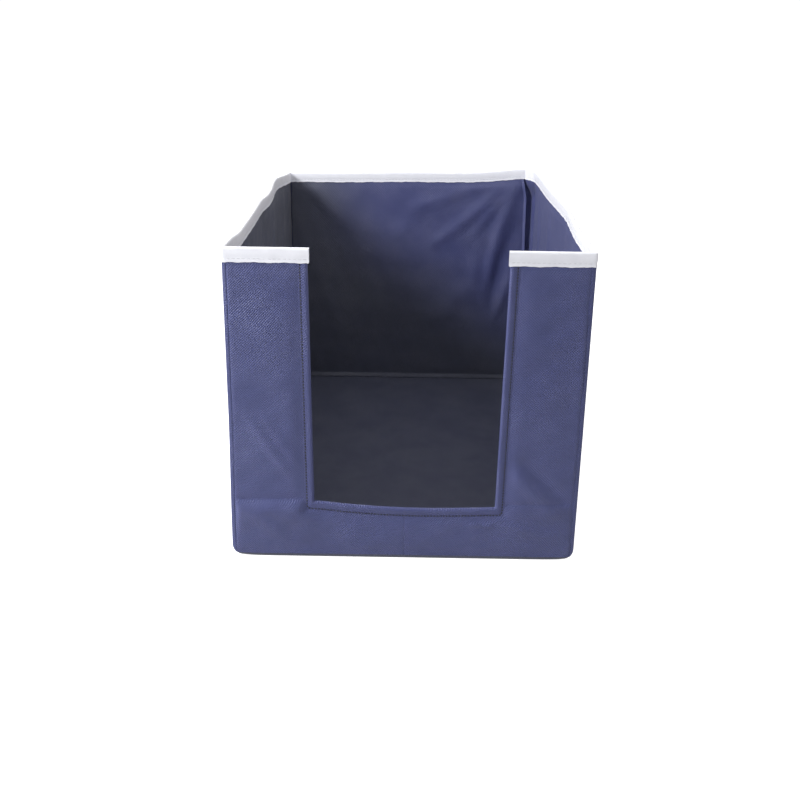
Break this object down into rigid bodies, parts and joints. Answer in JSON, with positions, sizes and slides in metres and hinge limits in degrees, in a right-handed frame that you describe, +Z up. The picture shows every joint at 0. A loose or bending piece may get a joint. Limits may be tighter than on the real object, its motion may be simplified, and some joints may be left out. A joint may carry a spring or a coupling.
{
  "type": "fabric storage bin",
  "caption": "Collapsible open-top cloth storage bin with board-stiffened walls, white taped rim, U-shaped front cut-out and a loose base board.",
  "frame": {"origin": "centre of the footprint, on the surface the bin stands on", "axes": "+Z up, the open front faces -Y, the bin is longest along Y"},
  "size_m": [0.27, 0.4, 0.25],
  "materials": {
    "outer_cloth": "navy spun-bond non-woven cloth, diamond embossed, matte with a faint sheen",
    "lining": "navy spun-bond non-woven cloth, diamond embossed, inside of the walls",
    "base_cloth": "navy spun-bond non-woven cloth",
    "cover_cloth": "navy spun-bond non-woven cloth, tight over the base board",
    "hem_cloth": "navy non-woven cloth, turned and pressed flat",
    "rim_tape": "white non-woven binding tape",
    "white_thread": "white polyester sewing thread",
    "navy_thread": "dark navy polyester sewing thread",
    "cardboard": "grey-brown pasted board, hidden between the cloths"
  },
  "bodies": {
    "left_side": {"base_cloth_tray": "base_cloth", "left_side_board": "cardboard", "left_side_lining": "lining", "left_side_outer_cloth": "outer_cloth", "left_side_rim_stitching": "white_thread", "left_side_rim_tape": "rim_tape"},
    "back_left": {"back_left_board": "cardboard", "back_left_lining": "lining", "back_left_outer_cloth": "outer_cloth", "back_left_rim_stitching": "white_thread", "back_left_rim_tape": "rim_tape"},
    "back_right": {"back_right_board": "cardboard", "back_right_lining": "lining", "back_right_outer_cloth": "outer_cloth", "back_right_rim_stitching": "white_thread", "back_right_rim_tape": "rim_tape"},
    "right_side": {"right_side_board": "cardboard", "right_side_lining": "lining", "right_side_outer_cloth": "outer_cloth", "right_side_rim_stitching": "white_thread", "right_side_rim_tape": "rim_tape"},
    "front_left": {"front_left_lining": "lining", "front_left_outer_cloth": "outer_cloth", "front_left_post_board": "cardboard", "front_left_post_hem": "hem_cloth", "front_left_post_stitching": "navy_thread", "front_left_rim_stitching": "white_thread", "front_left_rim_tape": "rim_tape", "front_left_sill_board": "cardboard", "front_left_sill_hem": "hem_cloth", "front_left_sill_stitching": "navy_thread"},
    "front_right": {"front_right_lining": "lining", "front_right_outer_cloth": "outer_cloth", "front_right_post_board": "cardboard", "front_right_post_hem": "hem_cloth", "front_right_post_stitching": "navy_thread", "front_right_rim_stitching": "white_thread", "front_right_rim_tape": "rim_tape", "front_right_sill_board": "cardboard", "front_right_sill_hem": "hem_cloth", "front_right_sill_stitching": "navy_thread"},
    "base_insert": {"base_board": "cardboard", "base_board_cover": "cover_cloth"}
  },
  "joints": [
    {"name": "back_left_fold", "type": "hinge", "parent": "left_side", "child": "back_left", "pos_m": [-0.131, 0.196, 0.125], "axis": [0, 0, -1], "range_deg": [0, 90]},
    {"name": "back_crease_fold", "type": "hinge", "parent": "back_left", "child": "back_right", "pos_m": [0, 0.2, 0.125], "axis": [0, 0, 1], "range_deg": [0, 180]},
    {"name": "back_right_fold", "type": "hinge", "parent": "back_right", "child": "right_side", "pos_m": [0.131, 0.196, 0.125], "axis": [0, 0, -1], "range_deg": [0, 90]},
    {"name": "front_right_fold", "type": "hinge", "parent": "right_side", "child": "front_right", "pos_m": [0.131, -0.196, 0.125], "axis": [0, 0, -1], "range_deg": [0, 90]},
    {"name": "front_left_fold", "type": "hinge", "parent": "left_side", "child": "front_left", "pos_m": [-0.131, -0.196, 0.125], "axis": [0, 0, 1], "range_deg": [0, 90]},
    {"name": "base_board_lift", "type": "slide", "parent": "left_side", "child": "base_insert", "axis": [0, 0, 1], "range_m": [0, 0.27]}
  ],
  "couplings": [
    {"joint": "back_crease_fold", "follows": "back_left_fold", "ratio": 2},
    {"joint": "back_right_fold", "follows": "back_left_fold", "ratio": 1},
    {"joint": "front_right_fold", "follows": "back_left_fold", "ratio": 1},
    {"joint": "front_left_fold", "follows": "back_left_fold", "ratio": 1}
  ]
}
